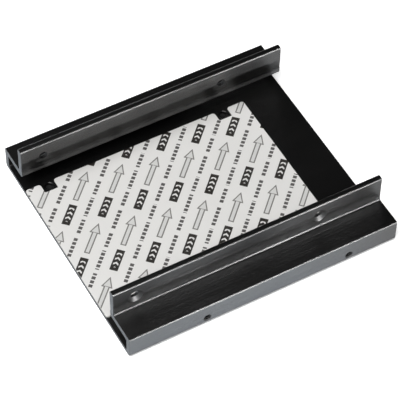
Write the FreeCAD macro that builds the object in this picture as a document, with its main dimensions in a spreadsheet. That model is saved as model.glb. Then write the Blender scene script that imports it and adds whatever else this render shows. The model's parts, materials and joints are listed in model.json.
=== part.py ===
"""Mounting frame for two 2.5-inch drives in one 3.5-inch bay, in millimetres.

One aluminium profile of constant section: a thin base plate with a stepped rail along each side.
The lower drive sticks to the adhesive pad on the base plate. The upper drive is screwed between
the upright flanges, and the outer walls take the screws of the bay.

Frame: +Y along the rails, +X across them, +Z up, origin under the middle of the base plate.
"""
import FreeCAD, Part
import os
import Sketcher

SIZES = {
    # Profile of the frame
    "frame_width": 101.6,
    "frame_length": 112.4,
    "base_thickness": 1.5,
    "rail_thickness": 2.5,
    "shelf_height": 10.3,
    "flange_height": 22.5,
    "drive_width": 69.85,
    "drive_clearance": 0.975,
    # Rounding of the profile's corners
    "edge_round": 0.75,
    "corner_round": 1.0,
    "foot_round": 1.4,
    "bottom_round": 1.5,
    # Countersunk holes for the upper drive's side screws
    "drive_hole_start": 9.2,
    "drive_hole_spacing": 76.6,
    "drive_hole_height": 16.25,
    "drive_hole_bore": 3.4,
    "drive_hole_rim": 5.9,
    # Tapped holes for the bay's side screws
    "bay_hole_start": 31.9,
    "bay_hole_spacing": 60.0,
    "bay_hole_height": 3.2,
    "bay_hole_bore": 2.8,
    "bay_hole_rim": 3.3,
    # Plain holes in the base plate
    "base_hole_start": 9.2,
    "base_hole_spacing": 75.8,
    "base_hole_reach": 32.5,
    "base_hole_bore": 3.4,
    # Adhesive pad and its release liner
    "pad_width": 67.0,
    "pad_length": 95.0,
    "pad_thickness": 0.35,
    "pad_inset": 0.15,
    "pad_shift": 0.85,
    "pad_corner": 1.0,
    "notch_side_gap": 1.1,
    "notch_end_gap": 1.75,
    "notch_corner": 0.4,
    "liner_thickness": 0.1,
}

HALF_WIDTH = "Sizes.frame_width / 2"
FRONT_END = "Sizes.frame_length / 2"
FLANGE_INSIDE = "(Sizes.drive_width / 2 + Sizes.drive_clearance)"
FLANGE_OUTSIDE = FLANGE_INSIDE + " + Sizes.rail_thickness"
NOTCH_WIDTH = "(Sizes.base_hole_bore + 2 * Sizes.notch_side_gap)"
NOTCH_BOTTOM = "(Sizes.base_hole_reach - Sizes.base_hole_bore / 2 - Sizes.notch_end_gap)"
COUNTERSINK_ANGLE = 90.0
NEAR = 1e-4

doc = FreeCAD.newDocument("DriveFrame")

# Driving dimensions
sheet = doc.addObject("Spreadsheet::Sheet", "Sizes")
for row, (alias, value) in enumerate(SIZES.items(), start=1):
    sheet.set(f"A{row}", alias)
    sheet.set(f"B{row}", str(value))
    sheet.setAlias(f"B{row}", alias)
doc.recompute()


def new_body(label):
    """An empty body that gives its label to one sub-part."""
    body = doc.addObject("PartDesign::Body", label)
    body.Label = label
    return body


def plane(body, role):
    """One of the body's own origin planes."""
    return next(item for item in body.Origin.OriginFeatures if item.Role == role)


def new_sketch(body, name, role, height="0"):
    """A sketch on an origin plane, lifted along the plane's normal by an expression."""
    sketch = body.newObject("Sketcher::SketchObject", name)
    sketch.AttachmentSupport = [(plane(body, role), "")]
    sketch.MapMode = "FlatFace"
    sketch.setExpression(".AttachmentOffset.Base.z", height)
    return sketch


def bind(sketch, name, kind, places, expression):
    """A named dimension between sketch points, bound to an expression."""
    value = doc.Sizes.evalExpression(expression.replace("Sizes.", ""))
    index = sketch.addConstraint(Sketcher.Constraint(kind, *places, float(value)))
    sketch.renameConstraint(index, name)
    sketch.setExpression(f".Constraints.{name}", expression)


def outline(sketch, corners):
    """A closed outline of level and upright lines, with its first corner tied to nothing yet."""
    count = len(corners)
    base = sketch.GeometryCount
    for index, start in enumerate(corners):
        end = corners[(index + 1) % count]
        sketch.addGeometry(Part.LineSegment(FreeCAD.Vector(*start), FreeCAD.Vector(*end)))
        level = abs(start[1] - end[1]) < NEAR
        sketch.addConstraint(Sketcher.Constraint("Horizontal" if level else "Vertical", base + index))
    for index in range(count):
        after = base + (index + 1) % count
        sketch.addConstraint(Sketcher.Constraint("Coincident", base + index, 2, after, 1))


def long_edges(shape, places):
    """Names of the edges along Y that pass through the given (x, z) places, on both rails."""
    names = []
    for number, edge in enumerate(shape.Edges, start=1):
        first, last = edge.Vertexes[0].Point, edge.Vertexes[-1].Point
        along_y = abs(first.x - last.x) < NEAR and abs(first.z - last.z) < NEAR
        at_place = any(abs(abs(first.x) - x) < NEAR and abs(first.z - z) < NEAR for x, z in places)
        if along_y and at_place:
            names.append(f"Edge{number}")
    return names


def round_edges(body, name, base, edges, radius):
    """A fillet of the named edges, bound to one size."""
    doc.recompute()
    fillet = body.newObject("PartDesign::Fillet", name)
    fillet.Base = (base, edges)
    fillet.setExpression("Radius", f"Sizes.{radius}")
    doc.recompute()
    return fillet


def mirrored(body, name, original):
    """The same feature on the other side of the YZ plane."""
    mirror = body.newObject("PartDesign::Mirrored", name)
    mirror.Originals = [original]
    mirror.MirrorPlane = (plane(body, "YZ_Plane"), [""])
    body.Tip = mirror
    doc.recompute()
    return mirror


def row_of_holes(body, name, face, kind):
    """Two countersunk holes through one upright wall, from its outer face inwards."""
    centres = new_sketch(body, f"{name}Centres", "YZ_Plane", face)
    radius = sheet.get(f"{kind}_bore") / 2
    height = sheet.get(f"{kind}_height")
    start = sheet.get(f"{kind}_start") - sheet.get("frame_length") / 2
    for place in (start, start + sheet.get(f"{kind}_spacing")):
        centre = FreeCAD.Vector(place, height)
        centres.addGeometry(Part.Circle(centre, FreeCAD.Vector(0, 0, 1), radius))
    centres.addConstraint(Sketcher.Constraint("Equal", 0, 1))
    centres.addConstraint(Sketcher.Constraint("Horizontal", 0, 3, 1, 3))
    bind(centres, "Bore", "Diameter", (0,), f"Sizes.{kind}_bore")
    bind(centres, "Height", "DistanceY", (-1, 1, 0, 3), f"Sizes.{kind}_height")
    bind(centres, "Start", "DistanceX", (-1, 1, 0, 3), f"Sizes.{kind}_start - {FRONT_END}")
    bind(centres, "Spacing", "DistanceX", (0, 3, 1, 3), f"Sizes.{kind}_spacing")
    doc.recompute()

    hole = body.newObject("PartDesign::Hole", name)
    hole.Profile = centres
    doc.recompute()
    hole.ThreadType = "None"
    hole.DepthType = "Dimension"
    hole.DrillPoint = "Flat"
    hole.HoleCutType = "Countersink"
    hole.HoleCutCustomValues = True
    hole.HoleCutCountersinkAngle = COUNTERSINK_ANGLE
    hole.setExpression("Diameter", f"Sizes.{kind}_bore")
    hole.setExpression("HoleCutDiameter", f"Sizes.{kind}_rim")
    hole.setExpression("Depth", "Sizes.rail_thickness + Sizes.corner_round")
    doc.recompute()
    return mirrored(body, f"{name}Mirror", hole)


# Frame: half of the section, padded along the rails and mirrored
frame = new_body("mounting_frame")
section = new_sketch(frame, "HalfSection", "XZ_Plane")
outer = sheet.get("frame_width") / 2
inner = sheet.get("drive_width") / 2 + sheet.get("drive_clearance")
thick = sheet.get("rail_thickness")
base_top = sheet.get("base_thickness")
shelf_top = sheet.get("shelf_height")
shelf_under = shelf_top - thick
flange_top = sheet.get("flange_height")
outline(section, [
    (0, 0),
    (outer, 0),
    (outer, shelf_top),
    (inner + thick, shelf_top),
    (inner + thick, flange_top),
    (inner, flange_top),
    (inner, shelf_under),
    (outer - thick, shelf_under),
    (outer - thick, base_top),
    (0, base_top),
])
section.addConstraint(Sketcher.Constraint("Coincident", 0, 1, -1, 1))
bind(section, "HalfWidth", "DistanceX", (-1, 1, 0, 2), HALF_WIDTH)
bind(section, "ShelfTop", "DistanceY", (-1, 1, 1, 2), "Sizes.shelf_height")
bind(section, "FlangeTop", "DistanceY", (-1, 1, 3, 2), "Sizes.flange_height")
bind(section, "FlangeInside", "DistanceX", (-1, 1, 4, 2), FLANGE_INSIDE)
bind(section, "FlangeThickness", "DistanceX", (5, 1, 3, 2), "Sizes.rail_thickness")
bind(section, "ShelfThickness", "DistanceY", (5, 2, 2, 2), "Sizes.rail_thickness")
bind(section, "WallThickness", "DistanceX", (6, 2, 1, 1), "Sizes.rail_thickness")
bind(section, "BaseThickness", "DistanceY", (-1, 1, 8, 2), "Sizes.base_thickness")

profile = frame.newObject("PartDesign::Pad", "Profile")
profile.Profile = section
profile.SideType = "Symmetric"
profile.setExpression("Length", "Sizes.frame_length")
doc.recompute()
whole = mirrored(frame, "WholeProfile", profile)

# Rounded corners of the section, from the flange's tops down to the underside
outside_edges = [(outer, shelf_top), (inner + thick, flange_top), (inner, flange_top)]
inside_corners = [(inner + thick, shelf_top), (outer - thick, shelf_under), (outer - thick, base_top)]
step = round_edges(frame, "EdgeRound", whole, long_edges(whole.Shape, outside_edges), "edge_round")
step = round_edges(frame, "CornerRound", step, long_edges(step.Shape, inside_corners), "corner_round")
step = round_edges(frame, "FootRound", step, long_edges(step.Shape, [(inner, shelf_under)]), "foot_round")
step = round_edges(frame, "BottomRound", step, long_edges(step.Shape, [(outer, 0)]), "bottom_round")

# Screw holes of the upper drive and of the bay
row_of_holes(frame, "DriveHoles", FLANGE_OUTSIDE, "drive_hole")
row_of_holes(frame, "BayHoles", HALF_WIDTH, "bay_hole")

# Plain holes through the base plate, two beside each flange
centres = new_sketch(frame, "BaseHoleCentres", "XY_Plane", "Sizes.base_thickness")
reach = sheet.get("base_hole_reach")
hole_start = sheet.get("base_hole_start") - sheet.get("frame_length") / 2
for place in (hole_start, hole_start + sheet.get("base_hole_spacing")):
    centre = FreeCAD.Vector(reach, place)
    centres.addGeometry(Part.Circle(centre, FreeCAD.Vector(0, 0, 1), sheet.get("base_hole_bore") / 2))
centres.addConstraint(Sketcher.Constraint("Equal", 0, 1))
centres.addConstraint(Sketcher.Constraint("Vertical", 0, 3, 1, 3))
bind(centres, "Bore", "Diameter", (0,), "Sizes.base_hole_bore")
bind(centres, "Reach", "DistanceX", (-1, 1, 0, 3), "Sizes.base_hole_reach")
bind(centres, "Start", "DistanceY", (-1, 1, 0, 3), f"Sizes.base_hole_start - {FRONT_END}")
bind(centres, "Spacing", "DistanceY", (0, 3, 1, 3), "Sizes.base_hole_spacing")
base_holes = frame.newObject("PartDesign::Pocket", "BaseHoles")
base_holes.Profile = centres
base_holes.setExpression("Length", "Sizes.base_thickness")
doc.recompute()
mirrored(frame, "BaseHolesMirror", base_holes)


notch_half = sheet.get("base_hole_bore") / 2 + sheet.get("notch_side_gap")
notch_bottom = reach - sheet.get("base_hole_bore") / 2 - sheet.get("notch_end_gap")


def upright_edges(shape, at_notch_bottom):
    """Names of a layer's edges along Z: those in the bottoms of its notches, or all the others."""
    names = []
    for number, edge in enumerate(shape.Edges, start=1):
        first, last = edge.Vertexes[0].Point, edge.Vertexes[-1].Point
        along_z = abs(first.x - last.x) < NEAR and abs(first.y - last.y) < NEAR
        in_bottom = abs(abs(first.x + sheet.get("pad_shift")) - notch_bottom) < NEAR
        if along_z and in_bottom == at_notch_bottom:
            names.append(f"Edge{number}")
    return names


def add_notch(sketch, name, side, row):
    """One notch's rectangle, from its bottom beside a base hole out past the pad's long side."""
    line = sketch.GeometryCount
    bottom = (side * notch_bottom - sheet.get("pad_shift"), f"{side} * {NOTCH_BOTTOM} - Sizes.pad_shift")
    beyond = (side * outer, f"{side} * {HALF_WIDTH}")
    low, high = sorted((bottom, beyond))
    middle = hole_start + row * sheet.get("base_hole_spacing")
    outline(sketch, [
        (low[0], middle - notch_half),
        (high[0], middle - notch_half),
        (high[0], middle + notch_half),
        (low[0], middle + notch_half),
    ])
    bind(sketch, f"{name}Low", "DistanceX", (-1, 1, line, 1), low[1])
    bind(sketch, f"{name}High", "DistanceX", (-1, 1, line, 2), high[1])
    bind(sketch, f"{name}Width", "DistanceY", (line + 1, 1, line + 1, 2), NOTCH_WIDTH)
    bind(sketch, f"{name}Start", "DistanceY", (-1, 1, line, 1),
         f"Sizes.base_hole_start - {FRONT_END} + {row} * Sizes.base_hole_spacing - {NOTCH_WIDTH} / 2")


def pad_layer(label, bottom, thickness):
    """A thin sheet with the pad's outline, laid at the given height."""
    body = new_body(label)
    sketch = new_sketch(body, f"{label}_outline", "XY_Plane", bottom)
    left = -sheet.get("pad_shift") - sheet.get("pad_width") / 2
    front = sheet.get("pad_inset") - sheet.get("frame_length") / 2
    right = left + sheet.get("pad_width")
    back = front + sheet.get("pad_length")
    outline(sketch, [(left, front), (right, front), (right, back), (left, back)])
    bind(sketch, "Left", "DistanceX", (-1, 1, 0, 1), "-Sizes.pad_shift - Sizes.pad_width / 2")
    bind(sketch, "Front", "DistanceY", (-1, 1, 0, 1), f"Sizes.pad_inset - {FRONT_END}")
    bind(sketch, "Width", "DistanceX", (0, 1, 0, 2), "Sizes.pad_width")
    bind(sketch, "Length", "DistanceY", (1, 1, 1, 2), "Sizes.pad_length")
    layer = body.newObject("PartDesign::Pad", f"{label}_layer")
    layer.Profile = sketch
    layer.setExpression("Length", f"Sizes.{thickness}")
    doc.recompute()

    # Notches in both long sides that leave the base plate's holes open
    cuts = new_sketch(body, f"{label}_notches", "XY_Plane", f"{bottom} + Sizes.{thickness}")
    for number, (side, row) in enumerate(((-1, 0), (-1, 1), (1, 0), (1, 1))):
        add_notch(cuts, f"Notch{number}", side, row)
    notches = body.newObject("PartDesign::Pocket", f"{label}_cuts")
    notches.Profile = cuts
    notches.setExpression("Length", f"Sizes.{thickness}")
    doc.recompute()
    rounded = round_edges(body, f"{label}_corners", notches, upright_edges(notches.Shape, False), "pad_corner")
    round_edges(body, f"{label}_bottoms", rounded, upright_edges(rounded.Shape, True), "notch_corner")
    return body


# Adhesive pad on the base plate, and the liner on the pad
pad = pad_layer("adhesive_pad", "Sizes.base_thickness", "pad_thickness")
liner = pad_layer("release_liner", "Sizes.base_thickness + Sizes.pad_thickness", "liner_thickness")

doc.recompute()
for item in doc.Objects:
    if "Invalid" in item.State or "Error" in item.State:
        raise RuntimeError(f"{item.Label} failed: {item.State}")

os.makedirs("parts", exist_ok=True)
for body in (frame, pad, liner):
    if body.Shape.isNull() or not body.Shape.isValid():
        raise RuntimeError(f"{body.Label} has no valid shape")
    body.Shape.exportStep(f"parts/{body.Label}.step")
    box = body.Shape.BoundBox
    print(f"{body.Label}: {len(body.Shape.Solids)} solid, {body.Shape.Volume:.1f} mm3, "
          f"{box.XLength:.2f} x {box.YLength:.2f} x {box.ZLength:.2f} mm")
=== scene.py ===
"""Dual drive mounting frame: a black anodised aluminium profile that holds two small drives in a larger bay.

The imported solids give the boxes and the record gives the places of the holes. The sizes inside the section
are repeated here. Lengths are in metres, and materials read their Object coordinates in millimetres.
"""
import json

import bpy
import numpy as np
from mathutils import Matrix, Vector

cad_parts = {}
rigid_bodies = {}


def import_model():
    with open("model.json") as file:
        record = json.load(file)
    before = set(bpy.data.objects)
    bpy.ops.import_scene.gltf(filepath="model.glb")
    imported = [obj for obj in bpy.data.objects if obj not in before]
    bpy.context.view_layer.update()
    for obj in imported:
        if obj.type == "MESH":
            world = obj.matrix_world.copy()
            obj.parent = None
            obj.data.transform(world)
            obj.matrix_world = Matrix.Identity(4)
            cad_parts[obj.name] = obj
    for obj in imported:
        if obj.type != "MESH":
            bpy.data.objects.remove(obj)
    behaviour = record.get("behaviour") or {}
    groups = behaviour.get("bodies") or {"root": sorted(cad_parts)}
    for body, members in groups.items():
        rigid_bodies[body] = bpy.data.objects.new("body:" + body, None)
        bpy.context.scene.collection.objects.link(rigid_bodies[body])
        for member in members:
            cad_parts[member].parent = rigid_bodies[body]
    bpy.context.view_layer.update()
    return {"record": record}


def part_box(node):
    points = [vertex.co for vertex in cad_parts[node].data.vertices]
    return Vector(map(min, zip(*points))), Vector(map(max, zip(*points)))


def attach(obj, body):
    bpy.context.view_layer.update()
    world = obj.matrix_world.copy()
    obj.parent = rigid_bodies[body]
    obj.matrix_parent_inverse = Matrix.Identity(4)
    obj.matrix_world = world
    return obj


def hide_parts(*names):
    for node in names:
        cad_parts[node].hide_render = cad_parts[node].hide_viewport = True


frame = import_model()


# Camera
# The photograph looks down across the right rail with a long lens, from about 0.8 m away.
# Its direction, roll and distance are those that carry the solids' edges onto the photographed ones.
azimuth, elevation, roll = np.radians([-29.904, 51.518, 1.213])
aim = np.array([0.005222, -0.002299, 0.008])
distance = 0.81006
focal_length_mm = 194.53
upright = np.array([0.0, 0.0, 1.0])
level_out = np.array([np.cos(azimuth), np.sin(azimuth), 0.0])
towards_eye = np.cos(elevation) * level_out + np.sin(elevation) * upright
level_right = np.array([-np.sin(azimuth), np.cos(azimuth), 0.0])
level_up = np.cross(towards_eye, level_right)
camera_axes = np.eye(4)
camera_axes[:3, 0] = np.cos(roll) * level_right + np.sin(roll) * level_up
camera_axes[:3, 1] = np.cos(roll) * level_up - np.sin(roll) * level_right
camera_axes[:3, 2] = towards_eye
camera_axes[:3, 3] = aim + distance * towards_eye
lens = bpy.data.cameras.new("camera")
lens.sensor_width = 36.0
lens.lens = focal_length_mm
lens.clip_start = 0.01
camera = bpy.data.objects.new("camera", lens)
bpy.context.scene.collection.objects.link(camera)
camera.matrix_world = Matrix(camera_axes.tolist())
bpy.context.scene.camera = camera


# Mounting frame
# One aluminium profile sawn to length: a base plate between two stepped rails, each an outer wall, a level
# shelf and an upright flange. It is drilled, countersunk and tapped, its cut edges are broken, and it is
# anodised black.
MM = 0.001
frame_low, frame_high = (np.array(corner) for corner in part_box("mounting_frame"))
half_width, half_length, flange_top = frame_high
rail_thickness = 2.5 * MM
base_top = 1.5 * MM
shelf_top = 10.3 * MM
shelf_under = shelf_top - rail_thickness
wall_inside = half_width - rail_thickness
flange_inside = 35.9 * MM
flange_outside = flange_inside + rail_thickness
edge_round = 0.75 * MM
corner_round = 1.0 * MM
foot_round = 1.4 * MM
bottom_round = 1.5 * MM
broken_edge = 0.16 * MM
hollow_top = 16.2 * MM
hollow_floor = 11.5 * MM
hollow_foot = 10.8 * MM
hollow_depth = 0.25 * MM
right_half = np.array([
    (half_width, 0.0, bottom_round),
    (half_width, shelf_top, edge_round),
    (flange_outside, shelf_top, corner_round),
    (flange_outside, flange_top, edge_round),
    (flange_inside, flange_top, edge_round),
    (flange_inside, shelf_under, foot_round),
    (wall_inside, shelf_under, corner_round),
    (wall_inside, base_top, corner_round),
])
left_half = right_half[::-1] * np.array([-1.0, 1.0, 1.0])


def rounded_loop(corners, steps):
    """A closed anticlockwise loop of right-angled corners (p, q, radius), each turned into a quarter circle.

    With a and b the unit directions into and out of a corner c of radius r, its point at angle t is
    c + r (b - a) - r b cos t + r a sin t, and its tangent is a cos t + b sin t. Gives the points and the
    outward normals.
    """
    place = corners[:, None, :2]
    radius = corners[:, None, 2:]
    into = place - np.roll(place, 1, 0)
    into /= np.linalg.norm(into, axis=2, keepdims=True)
    onward = np.roll(into, -1, 0)
    turn = np.linspace(0, np.pi / 2, steps)[None, :, None]
    points = place + radius * (onward - into - onward * np.cos(turn) + into * np.sin(turn))
    tangent = into * np.cos(turn) + onward * np.sin(turn)
    outward = np.stack([tangent[..., 1], -tangent[..., 0]], axis=-1)
    return points.reshape(-1, 2), outward.reshape(-1, 2)


def solid_from_rings(name, rings):
    """A closed solid whose quads join each ring to the next, with one face over each end.

    rings[k, i] is point i of ring k. Seen along the path the points run anticlockwise, so that the faces
    point outwards.
    """
    count, around = rings.shape[:2]
    number = np.arange(count * around).reshape(count, around)
    here = number[:-1]
    after = number[1:]
    quads = np.stack([here, after, np.roll(after, -1, 1), np.roll(here, -1, 1)], axis=-1).reshape(-1, 4)
    faces = quads.tolist() + [number[0].tolist(), number[-1, ::-1].tolist()]
    mesh = bpy.data.meshes.new(name)
    mesh.from_pydata(rings.reshape(-1, 3).tolist(), [], faces)
    mesh.shade_smooth()
    piece = bpy.data.objects.new(name, mesh)
    bpy.context.scene.collection.objects.link(piece)
    return piece


def sawn_profile(corners):
    """The section carried along Y, with a broken edge at each end.

    There it draws in by r (1 - sin t) over the last r (1 - cos t). Down each flange's inner face, which
    follows the fifth corner and the eleventh, it sinks by depth s^1.5 with s the share of the way down the
    hollow, and comes back in a short slope above the foot.
    """
    arc_points = 9
    hollow_points = 19
    edge_points = 4
    points, outward = rounded_loop(corners, arc_points)
    down = np.linspace(hollow_top, hollow_foot, hollow_points)
    sunk = np.clip((hollow_top - down) / (hollow_top - hollow_floor), 0, 1) ** 1.5
    sunk *= hollow_depth * np.clip((down - hollow_foot) / (hollow_floor - hollow_foot), 0, 1)
    right_face = np.stack([flange_inside + sunk, down], axis=-1)
    left_face = right_face[::-1] * np.array([-1.0, 1.0])
    where = np.repeat([5 * arc_points, 11 * arc_points], hollow_points)
    points = np.insert(points, where, np.concatenate([right_face, left_face]), axis=0)
    inwards = np.repeat([(-1.0, 0.0), (1.0, 0.0)], hollow_points, axis=0)
    outward = np.insert(outward, where, inwards, axis=0)
    turn = np.linspace(0, np.pi / 2, edge_points)
    draw_in = broken_edge * (1 - np.sin(turn))
    along = half_length - broken_edge * (1 - np.cos(turn))
    draw_in = np.concatenate([draw_in, draw_in[::-1]])[:, None, None]
    along = np.concatenate([-along, along[::-1]])
    section = points - draw_in * outward
    y = np.broadcast_to(along[:, None], section.shape[:2])
    return np.stack([section[..., 0], y, section[..., 1]], axis=-1)


CUTTER_SIDES = 48


def turned_cutter(place, out, first_side, reach, radius):
    """Circles of the given radius round a line through place, at each reach along the out direction.

    radius is one value for each reach, or one for each reach and each angle where a thread winds round.
    """
    second_side = np.cross(first_side, out)
    angle = np.linspace(0, 2 * np.pi, CUTTER_SIDES, endpoint=False)[None, :, None]
    spoke = np.cos(angle) * first_side + np.sin(angle) * second_side
    radius = np.broadcast_to(radius.reshape(len(reach), -1), (len(reach), CUTTER_SIDES))[..., None]
    return place + reach[:, None, None] * out + radius * spoke


mounts = {mount["name"]: mount for mount in frame["record"]["mounts"]}
past_face = 0.4 * MM

# Countersunk drive holes: a plain bore for an M3 screw, opened to a right-angled cone on the flange's outer
# face.
drive_row = mounts["drive_screws_right"]
drive_spacing = drive_row["dims"]["spacing_x_mm"] * MM
drive_depth = 3.0 * MM
drive_bore = 1.7 * MM
drive_rim = 2.95 * MM
drive_reach = np.array([-drive_depth, drive_bore - drive_rim, 0.0, past_face])
drive_radius = np.array([drive_bore, drive_bore, drive_rim, drive_rim + past_face])

# Tapped bay holes: a right-handed thread and a small lead-in cone. The thread's groove is a triangle with a
# flat crest and root.
bay_row = mounts["bay_screws_right"]
bay_spacing = bay_row["dims"]["spacing_x_mm"] * MM
bay_depth = 3.1 * MM
bay_bore = 1.4 * MM
bay_rim = 1.65 * MM
thread_pitch = 0.794 * MM
thread_root = 1.67 * MM
thread_flat = 0.14
thread_steps = 58
bay_past_face = 0.1 * MM
bay_reach = np.linspace(-bay_depth, bay_past_face, thread_steps)
winding = np.linspace(0, 1, CUTTER_SIDES, endpoint=False)
phase = np.mod(bay_reach[:, None] / thread_pitch + winding, 1.0)
groove = np.clip((1 - np.abs(2 * phase - 1) - thread_flat) / (1 - 2 * thread_flat), 0, 1)
bay_radius = bay_bore + (thread_root - bay_bore) * groove
bay_radius = np.maximum(bay_radius, bay_rim + bay_reach[:, None])

# Plain base holes, drilled straight through the plate, with their upper edge just broken.
base_rows = mounts["base_screws"]
base_spacing = base_rows["dims"]["spacing_y_mm"] * MM
base_from_middle = base_rows["dims"]["spacing_x_mm"] * MM / 2
base_bore = 1.7 * MM
base_break = 0.15 * MM
base_reach = np.array([-base_top - past_face, -base_break, 0.0, past_face])
base_radius = np.array([base_bore, base_bore, base_bore + base_break, base_bore + base_break + past_face])

lengthwise = np.array([0.0, 1.0, 0.0])
cutters = bpy.data.collections.new("cutters")
for side in (1.0, -1.0):
    out = np.array([side, 0.0, 0.0])
    drive_middle = np.array([side * flange_outside, *drive_row["pos_m"][1:]])
    bay_middle = np.array(bay_row["pos_m"]) * np.array([side, 1.0, 1.0])
    base_middle = np.array([side * base_from_middle, base_rows["pos_m"][1], base_top])
    for end in (-0.5, 0.5):
        place = drive_middle + end * drive_spacing * lengthwise
        drive_rings = turned_cutter(place, out, upright, drive_reach, drive_radius)
        cutters.objects.link(solid_from_rings("drive_cutter", drive_rings))
        place = bay_middle + end * bay_spacing * lengthwise
        bay_rings = turned_cutter(place, out, upright, bay_reach, bay_radius)
        cutters.objects.link(solid_from_rings("bay_cutter", bay_rings))
        place = base_middle + end * base_spacing * lengthwise
        base_rings = turned_cutter(place, upright, lengthwise, base_reach, base_radius)
        cutters.objects.link(solid_from_rings("base_cutter", base_rings))

profile = solid_from_rings("frame_profile", sawn_profile(np.concatenate([right_half, left_half])))
drilling = profile.modifiers.new("drilling", "BOOLEAN")
drilling.operation = "DIFFERENCE"
drilling.operand_type = "COLLECTION"
drilling.collection = cutters
drilling.solver = "EXACT"
drilled_mesh = bpy.data.meshes.new_from_object(profile.evaluated_get(bpy.context.evaluated_depsgraph_get()))
profile.modifiers.clear()
profile.data = drilled_mesh
drilled_mesh.name = "frame_profile"
for cutter in list(cutters.objects):
    bpy.data.objects.remove(cutter)
bpy.data.collections.remove(cutters)
drilled_mesh.shade_smooth()
drilled_mesh.set_sharp_from_angle(angle=np.radians(34))
even_faces = profile.modifiers.new("even_faces", "WEIGHTED_NORMAL")
even_faces.keep_sharp = True


class Shade:
    """A value that changes over a surface: a node's output socket. Arithmetic on it adds Math nodes."""

    def __init__(self, tree, socket):
        self.tree = tree
        self.socket = socket

    def node(self, kind, settings, sockets):
        """Adds a node of that kind, makes its settings, then fills its sockets. Gives its outputs."""
        made = self.tree.nodes.new(kind)
        for name, setting in settings.items():
            setattr(made, name, setting)
        for name, value in sockets.items():
            if isinstance(value, Shade):
                self.tree.links.new(value.socket, made.inputs[name])
            else:
                made.inputs[name].default_value = value
        return [Shade(self.tree, socket) for socket in made.outputs]

    def math(self, operation, first, second=0.0):
        return self.node("ShaderNodeMath", {"operation": operation}, {0: first, 1: second})[0]

    def __add__(self, other):
        return self.math("ADD", self, other)

    def __radd__(self, other):
        return self.math("ADD", other, self)

    def __sub__(self, other):
        return self.math("SUBTRACT", self, other)

    def __rsub__(self, other):
        return self.math("SUBTRACT", other, self)

    def __mul__(self, other):
        return self.math("MULTIPLY", self, other)

    def __rmul__(self, other):
        return self.math("MULTIPLY", other, self)

    def __truediv__(self, other):
        return self.math("DIVIDE", self, other)

    def __mod__(self, other):
        return self.math("FLOORED_MODULO", self, other)

    def __abs__(self):
        return self.math("ABSOLUTE", self)

    def __lt__(self, other):
        return self.math("LESS_THAN", self, other)

    def __gt__(self, other):
        return self.math("GREATER_THAN", self, other)

    def floor(self):
        return self.math("FLOOR", self)

    def larger(self, other):
        return self.math("MAXIMUM", self, other)

    def ramp(self, low, high):
        """0 where this value is low, 1 where it is high, and level beyond them."""
        return self.node("ShaderNodeMapRange", {}, {"Value": self, "From Min": low, "From Max": high})[0]

    def vector(self, operation, second=(0.0, 0.0, 0.0), third=(0.0, 0.0, 0.0)):
        return self.node("ShaderNodeVectorMath", {"operation": operation}, {0: self, 1: second, 2: third})[0]

    def scaled(self, factors):
        """This vector with each part times its factor."""
        return self.vector("MULTIPLY", factors)

    def parts(self):
        return self.node("ShaderNodeSeparateXYZ", {}, {0: self})

    def noise(self, detail):
        """Smooth noise at this place, between 0 and 1 with a mean of one half."""
        return self.node("ShaderNodeTexNoise", {}, {"Vector": self, "Scale": 1.0, "Detail": detail})[0]

    def between(self, low, high):
        """The colour low where this value is 0 and high where it is 1."""
        return self.node("ShaderNodeMix", {"data_type": "RGBA"}, {0: self, 6: low, 7: high})[2]

    def bumped(self, rise, under=None):
        """A normal bent as if the surface rose by this value times rise, over the normal under."""
        sockets = {"Strength": 1.0, "Distance": rise, "Height": self}
        if under is not None:
            sockets["Normal"] = under
        return self.node("ShaderNodeBump", {}, sockets)[0]


def new_finish(name):
    """A new material with its output, and a point's Object coordinates in millimetres."""
    material = bpy.data.materials.new(name)
    material.use_nodes = True
    material.node_tree.nodes.clear()
    output = material.node_tree.nodes.new("ShaderNodeOutputMaterial")
    place = material.node_tree.nodes.new("ShaderNodeTexCoord").outputs["Object"]
    return material, output, Shade(material.node_tree, place).scaled((1 / MM, 1 / MM, 1 / MM))


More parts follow.
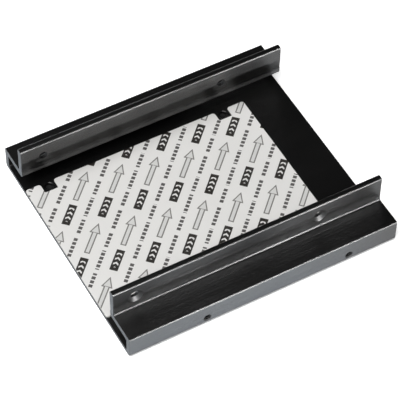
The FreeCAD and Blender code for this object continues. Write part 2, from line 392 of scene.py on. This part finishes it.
def black_anodising():
    """Black dyed oxide over aluminium: a near black body under a dull gloss, with fine die lines along it.

    The lines lean the normal across the profile only. A shallow hollow along each flange, deeper on its inner
    face, leans it down just above the foot. The sawn ends and the drilled faces are duller, and the ends are
    a little paler, with saw lines across them.
    """
    deep_dye = (0.0012, 0.0012, 0.0013, 1.0)
    thin_dye = (0.0030, 0.0028, 0.0027, 1.0)
    sawn_dye = (0.006, 0.006, 0.007, 1.0)
    end_depth = 0.06
    face_margin = 0.04
    drive_half = 2.93
    bay_half = 1.7
    lean_from, lean_full = 16.4, 13.4
    foot_from, foot_full = 10.4, 10.8
    line_lean = 1.8
    hollow_lean = (0.0, 0.0, -1.3)
    grain_rise = 0.03 * MM
    material, output, place = new_finish("black_anodising")
    die_lines = place.scaled((40.0, 0.02, 40.0)).noise(1.0)
    cloud = place.scaled((0.06, 0.025, 0.06)).noise(2.0)
    etch = place.scaled((9.0, 9.0, 9.0)).noise(2.0)
    saw_lines = place.scaled((0.12, 1.0, 6.0)).noise(3.0)
    x, y, z = place.parts()
    at_end = abs(y) > half_length / MM - end_depth
    body = cloud.between(deep_dye, thin_dye)
    body = (at_end * (0.4 + 0.6 * saw_lines)).between(body, sawn_dye)

    def in_holes(mount, half, inside, outside):
        """1 within half of the axes of that pair of holes, between the two faces they go through."""
        beside = abs(abs(y - mount["pos_m"][1] / MM) - mount["dims"]["spacing_x_mm"] / 2) < half
        level = abs(z - mount["pos_m"][2] / MM) < half
        within = (abs(x) > inside / MM + face_margin) * (abs(x) < outside / MM - face_margin)
        return beside * level * within

    in_drive_holes = in_holes(drive_row, drive_half, flange_inside, flange_outside)
    in_bay_holes = in_holes(bay_row, bay_half, wall_inside, half_width)
    drilled = in_drive_holes.larger(in_bay_holes)
    roughness = 0.28 + 0.06 * die_lines + 0.08 * (cloud - 0.5) + 0.05 * (etch - 0.5)
    roughness = roughness + 0.22 * at_end + 0.20 * drilled

    facing = place.node("ShaderNodeNewGeometry", {}, {})[1]
    across = facing.vector("CROSS_PRODUCT", (0.0, 1.0, 0.0))
    inner_face = x * facing.parts()[0] < 0.0
    hollow = (0.25 + 0.75 * inner_face) * z.ramp(lean_from, lean_full) * z.ramp(foot_from, foot_full)
    lean = line_lean * (die_lines - 0.5) * (1.0 - drilled) * (1.0 - 0.75 * hollow)
    leaning = across.vector("MULTIPLY_ADD", lean, facing)
    leaning = hollow.vector("MULTIPLY_ADD", hollow_lean, leaning)
    grain = 0.04 * etch + at_end * (saw_lines - 0.5)
    surface = place.node("ShaderNodeBsdfPrincipled", {}, {
        "Base Color": body,
        "Roughness": roughness,
        "IOR": 1.76,
        "Normal": grain.bumped(grain_rise, leaning.vector("NORMALIZE")),
    })[0]
    material.node_tree.links.new(surface.socket, output.inputs["Surface"])
    return material


profile.data.materials.clear()
profile.data.materials.append(black_anodising())
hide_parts("mounting_frame")
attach(profile, "root")


# Adhesive pad
# A thin layer of double-sided acrylic adhesive, die-cut with a notch round each base hole and pressed onto
# the plate. It holds the lower drive once its liner is pulled off.
NOTCH_HALF = 2.8 * MM
NOTCH_ROWS = np.array([base_rows["pos_m"][1] + end * base_spacing for end in (-0.5, 0.5)])
FAR_NOTCH_BOTTOM = -29.9 * MM
NEAR_NOTCH_BOTTOM = 28.2 * MM
MOUTH_ROUND = 1.0 * MM
BOTTOM_ROUND = 0.4 * MM
SHEET_CORNER = 1.0 * MM


def cut_back(along, low, high, depth):
    """How far a die-cut edge lies behind the sheet's own edge at each place along it.

    At the sheet's corners and at a notch's mouth and bottom it follows a quarter circle, r - sqrt(r^2 - s^2)
    with s the way into the rounding. In between, a notch is its full depth.
    """
    from_end = np.minimum(along - low, high - along)
    into_corner = np.clip(SHEET_CORNER - from_end, 0, SHEET_CORNER)
    back = SHEET_CORNER - np.sqrt(SHEET_CORNER**2 - into_corner**2)
    inside = NOTCH_HALF - np.min(np.abs(along[:, None] - NOTCH_ROWS), axis=1)
    at_mouth = np.clip(inside + MOUTH_ROUND, 0, MOUTH_ROUND)
    mouth = MOUTH_ROUND - np.sqrt(MOUTH_ROUND**2 - at_mouth**2)
    from_side = np.clip(BOTTOM_ROUND - inside, 0, BOTTOM_ROUND)
    bottom = depth - BOTTOM_ROUND + np.sqrt(BOTTOM_ROUND**2 - from_side**2)
    return back + np.where(inside > 0, bottom, mouth)


def die_cut_sheet(name, low, high, across, height, lift):
    """A notched sheet: its section carried along Y, from the far cut edge to the near one.

    across runs from 0 at the far edge to 1 at the near one, height from 0 underneath to 1 on top, once round
    the section, and lift(x, y) raises the sheet off its bed. Each wall of a notch lies between two rows that
    are two hairs apart.
    """
    corner_points = 7
    even_rows = 70
    hair = 0.003 * MM
    mouth_steps = -MOUTH_ROUND * np.array([1.0, 0.75, 0.4, 0.1])
    bottom_steps = BOTTOM_ROUND * np.array([0.1, 0.4, 1.0])
    wall = NOTCH_HALF - np.concatenate([mouth_steps, [-hair, hair], bottom_steps])
    corner = SHEET_CORNER * (1 - np.cos(np.linspace(0, np.pi / 2, corner_points)))
    even = np.linspace(low[1] + 1.5 * SHEET_CORNER, high[1] - 1.5 * SHEET_CORNER, even_rows)
    rows = [low[1] + corner, high[1] - corner, even]
    rows += [row + sign * wall for row in NOTCH_ROWS for sign in (-1, 1)]
    along = np.unique(np.round(np.concatenate(rows), 7))
    far_edge = low[0] + cut_back(along, low[1], high[1], FAR_NOTCH_BOTTOM - low[0])
    near_edge = high[0] - cut_back(along, low[1], high[1], high[0] - NEAR_NOTCH_BOTTOM)
    x = far_edge[:, None] + across * (near_edge - far_edge)[:, None]
    y = np.broadcast_to(along[:, None], x.shape)
    z = low[2] + height * (high[2] - low[2]) + lift(x, y)
    return solid_from_rings(name, np.stack([x, y, z], axis=-1))


def tacky_acrylic():
    """Pale grey acrylic adhesive, a little cloudy, with a soft, slightly tacky skin."""
    darker_grey = (0.42, 0.42, 0.40, 1.0)
    paler_grey = (0.60, 0.60, 0.57, 1.0)
    skin_rise = 0.02 * MM
    material, output, place = new_finish("tacky_acrylic")
    cells = place.scaled((6.0, 6.0, 6.0)).noise(3.0)
    surface = place.node("ShaderNodeBsdfPrincipled", {}, {
        "Base Color": cells.between(darker_grey, paler_grey),
        "Roughness": 0.45 + 0.2 * cells,
        "Normal": cells.bumped(skin_rise),
    })[0]
    material.node_tree.links.new(surface.socket, output.inputs["Surface"])
    return material


# The pad's section, once round from its far lower edge: flat above and below, with sides that bulge a little.
pad_across = np.array([0.003, 0.5, 0.997, 0.999, 1.0, 0.999, 0.997, 0.5, 0.003, 0.001, 0.0, 0.001])
pad_height = np.array([0.0, 0.0, 0.0, 0.12, 0.5, 0.88, 1.0, 1.0, 1.0, 0.88, 0.5, 0.12])
pad_low, pad_high = (np.array(corner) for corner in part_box("adhesive_pad"))
pad = die_cut_sheet(
    "adhesive_layer", pad_low, pad_high, pad_across, pad_height, lift=lambda x, y: np.zeros_like(x)
)
pad.data.set_sharp_from_angle(angle=np.radians(40))
pad.data.materials.append(tacky_acrylic())
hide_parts("adhesive_pad")
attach(pad, "root")


# Release liner
# A sheet of white coated paper over the pad, die-cut with it and printed on top in rows that slant across it.
# It is thin and a little springy, so it lies in faint waves and its near left corner stands off the pad.
liner_low, liner_high = (np.array(corner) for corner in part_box("release_liner"))
wave_rise = 0.05 * MM
corner_rise = 0.5 * MM
corner_reach = 6.0 * MM


def paper_lift(x, y):
    """Faint waves, two crossing sines, plus a rise of exp(-(d / reach)^2) at d from the near left corner."""
    short_wave = np.sin(x / (9.3 * MM) + y / (21.0 * MM))
    long_wave = np.sin(y / (12.7 * MM) - x / (31.0 * MM))
    waves = 0.5 + 0.25 * short_wave + 0.25 * long_wave
    from_corner = np.hypot(x - liner_high[0], y - liner_low[1])
    return wave_rise * waves + corner_rise * np.exp(-((from_corner / corner_reach) ** 2))


def printed_paper():
    """White coated paper with grey and black marks in slanting rows.

    In millimetres, u runs along the rows and v across them, from the middle of its row. Even rows hold dark
    labels with chevrons and outlined arrows in turn, and odd rows hold short dashes. Each row is moved along
    from the one before it.
    """
    duller_white = (0.735, 0.725, 0.705, 1.0)
    brighter_white = (0.80, 0.792, 0.775, 1.0)
    label_ink = (0.030, 0.027, 0.024, 1.0)
    dash_ink = (0.105, 0.10, 0.097, 1.0)
    outline_ink = (0.20, 0.195, 0.185, 1.0)
    arrow_tint = (0.66, 0.655, 0.64, 1.0)
    diagonal = 0.70711
    row_height = 5.9
    row_shift = 11.3
    mark_repeat = 30.0
    word_repeat = 20.0
    chevron_pitch = 2.3
    dash_pitch = 1.9
    word_half_height = 0.75
    print_rise = 0.006 * MM
    material, output, place = new_finish("printed_paper")
    x, y = place.parts()[:2]
    fibre = place.scaled((5.0, 5.0, 5.0)).noise(4.0)
    cloud = place.scaled((0.05, 0.05, 0.05)).noise(2.0)
    paper = (0.6 * cloud + 0.4 * fibre).between(duller_white, brighter_white)
    u = (y - x) * diagonal
    v = (x + y) * diagonal / row_height
    row = v.floor()
    v = (v - row - 0.5) * row_height
    u = u + row * row_shift
    odd = row % 2.0
    even = 1.0 - odd

    def along(middle, repeat):
        """The way along the row from the middle of the nearest mark, one mark to each repeat."""
        return (u - middle + repeat / 2) % repeat - repeat / 2

    def bar(way, half_bar, half_height):
        """1 on a bar of that half length and half height."""
        return (abs(way) < half_bar) * (abs(v) < half_height)

    def block_arrow(way, grown):
        """1 on an arrow along the row: a shaft of even height, then a head that narrows to its point."""
        head_start = 2.3 - grown
        head_point = 6.4 + 2.2 * grown
        head_slope = 0.44
        shaft = bar(way + 2.5, 5.0 + grown, 0.85 + grown)
        head = (way > head_start) * (abs(v) < (head_point - way) * head_slope)
        return shaft.larger(head)

    label_way = along(8.0, mark_repeat)
    label = even * bar(label_way, 4.9, 1.6)
    stroke = abs((label_way + abs(v) * 0.8) % chevron_pitch - chevron_pitch / 2) < 0.42
    chevrons = label * stroke * bar(label_way, 3.45, 1.0)
    dark_label = label - chevrons
    arrow_way = along(23.0, mark_repeat)
    arrow = even * block_arrow(arrow_way, 0.28)
    arrow_inside = even * block_arrow(arrow_way, -0.22)
    short_dash = abs(u % dash_pitch - dash_pitch / 2) < 0.66
    long_word = bar(along(5.0, word_repeat), 4.6, word_half_height)
    short_word = bar(along(15.0, word_repeat), 3.6, word_half_height)
    dashes = odd * short_dash * long_word.larger(short_word)
    colour = dashes.between(paper, dash_ink)
    colour = arrow.between(colour, outline_ink)
    colour = arrow_inside.between(colour, arrow_tint)
    colour = dark_label.between(colour, label_ink)
    printed = dark_label.larger(dashes)
    surface = place.node("ShaderNodeBsdfPrincipled", {}, {
        "Base Color": colour,
        "Roughness": 0.46 + 0.10 * fibre - 0.08 * printed,
        "IOR": 1.45,
        "Normal": (fibre + 0.4 * printed).bumped(print_rise),
    })[0]
    material.node_tree.links.new(surface.socket, output.inputs["Surface"])
    return material


sheet_steps = np.linspace(0.0, 1.0, 46)
liner_across = np.concatenate([sheet_steps, sheet_steps[::-1]])
liner_height = np.concatenate([np.zeros_like(sheet_steps), np.ones_like(sheet_steps)])
liner = die_cut_sheet("printed_liner", liner_low, liner_high, liner_across, liner_height, paper_lift)
liner.data.set_sharp_from_angle(angle=np.radians(40))
liner.data.materials.append(printed_paper())
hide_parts("release_liner")
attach(liner, "root")


# Table and light
# A plain white table that shows as the white background, with a faint shadow under the frame.
# A large soft lamp hangs above on the left, a strip stands low in front, and a faint lamp hangs behind.
table_reach = 6.0
table_top = frame_low[2] - 0.02 * MM
table_corners = table_reach * np.array([(-1, -1), (1, -1), (1, 1), (-1, 1)])
table_mesh = bpy.data.meshes.new("table")
table_mesh.from_pydata([(x, y, table_top) for x, y in table_corners.tolist()], [], [(0, 1, 2, 3)])
table = bpy.data.objects.new("table", table_mesh)
bpy.context.scene.collection.objects.link(table)


def white_table():
    """A white table top, see-through from below: lit paint, plus a glow that the camera and reflections see.

    For the camera the glow keeps the background white. In reflections it is bluish by the frame, paler
    further out and dim on the right. Well under the frame the paint is dark: painted shade standing in for
    the frame's shadow there, so that the base holes look into shade.
    """
    paint_low = (0.90, 0.90, 0.90, 1.0)
    paint_high = (0.93, 0.93, 0.93, 1.0)
    # Near black paint for the painted shade well under the frame.
    painted_shade_under_frame = (0.02, 0.02, 0.02, 1.0)
    bluish = (0.38, 0.49, 0.60, 1.0)
    pale = (0.90, 0.97, 1.0, 1.0)
    dim = (0.04, 0.045, 0.05, 1.0)
    grey = (0.60, 0.60, 0.60, 1.0)
    white = (1.0, 1.0, 1.0, 1.0)
    well_under = -4.0
    pale_from, pale_full = 50.0, 110.0
    dim_from, dim_full = 15.0, 65.0
    white_full = 60.0
    material, output, place = new_finish("white_table")
    x, y = place.parts()[:2]
    out_from_frame = (abs(x) - half_width / MM).larger(abs(y) - half_length / MM)
    speck = place.scaled((0.02, 0.02, 0.02)).noise(1.0)
    paint = speck.between(paint_low, paint_high)
    # Painted shade: well under the frame the table's paint is made dark, standing in for the frame's shadow.
    paint = (out_from_frame < well_under).between(paint, painted_shade_under_frame)
    lit = place.node("ShaderNodeBsdfDiffuse", {}, {"Color": paint})[0]
    reflected = abs(x).ramp(pale_from, pale_full).between(bluish, pale)
    reflected = y.ramp(dim_from, dim_full).between(reflected, dim)
    direct = out_from_frame.ramp(0.0, white_full).between(grey, white)
    light_path = place.node("ShaderNodeLightPath", {}, {})
    to_camera, in_gloss, through_glass = light_path[0], light_path[3], light_path[6]
    glow_colour = to_camera.between(reflected, direct)
    glow = place.node("ShaderNodeEmission", {}, {"Color": glow_colour, "Strength": 1.0})[0]
    both = place.node("ShaderNodeAddShader", {}, {0: lit, 1: glow})[0]
    seen = to_camera.larger(in_gloss).larger(through_glass) * (out_from_frame > 0.0)
    shown = place.node("ShaderNodeMixShader", {}, {0: seen, 1: lit, 2: both})[0]
    clear = place.node("ShaderNodeBsdfTransparent", {}, {})[0]
    from_below = place.node("ShaderNodeNewGeometry", {}, {})[6]
    surface = place.node("ShaderNodeMixShader", {}, {0: from_below, 1: shown, 2: clear})[0]
    material.node_tree.links.new(surface.socket, output.inputs["Surface"])
    return material


table_mesh.materials.append(white_table())


def soft_lamp(name, direction, away, width, height, watts):
    """A soft box at that direction and distance from the frame's middle, facing it."""
    lamp = bpy.data.lights.new(name, "AREA")
    lamp.shape = "RECTANGLE"
    lamp.size = width
    lamp.size_y = height
    lamp.energy = watts
    stand = bpy.data.objects.new(name, lamp)
    bpy.context.scene.collection.objects.link(stand)
    frame_middle = Vector((0.0, 0.0, 0.01))
    towards_lamp = Vector(direction).normalized()
    stand.location = frame_middle + away * towards_lamp
    stand.rotation_euler = towards_lamp.to_track_quat("Z", "Y").to_euler()


soft_lamp("main_lamp", direction=(0.15, -0.55, 0.82), away=1.30, width=1.20, height=1.20, watts=24.5)
soft_lamp("front_lamp", direction=(0.95, 0.16, 0.06), away=0.75, width=0.60, height=0.08, watts=10.8)
soft_lamp("upper_lamp", direction=(-0.50, -0.02, 0.86), away=0.90, width=0.20, height=0.20, watts=0.15)

room_grey = (0.012, 0.012, 0.012, 1.0)
backdrop_white = (1.0, 1.0, 1.0, 1.0)
studio = bpy.data.worlds.new("studio")
studio.use_nodes = True
studio.node_tree.nodes.clear()
sky = Shade(studio.node_tree, studio.node_tree.nodes.new("ShaderNodeLightPath").outputs["Is Camera Ray"])
room = sky.node("ShaderNodeBackground", {}, {"Color": sky.between(room_grey, backdrop_white)})[0]
room_output = studio.node_tree.nodes.new("ShaderNodeOutputWorld")
studio.node_tree.links.new(room.socket, room_output.inputs["Surface"])
bpy.context.scene.world = studio
bpy.context.scene.view_settings.view_transform = "Standard"
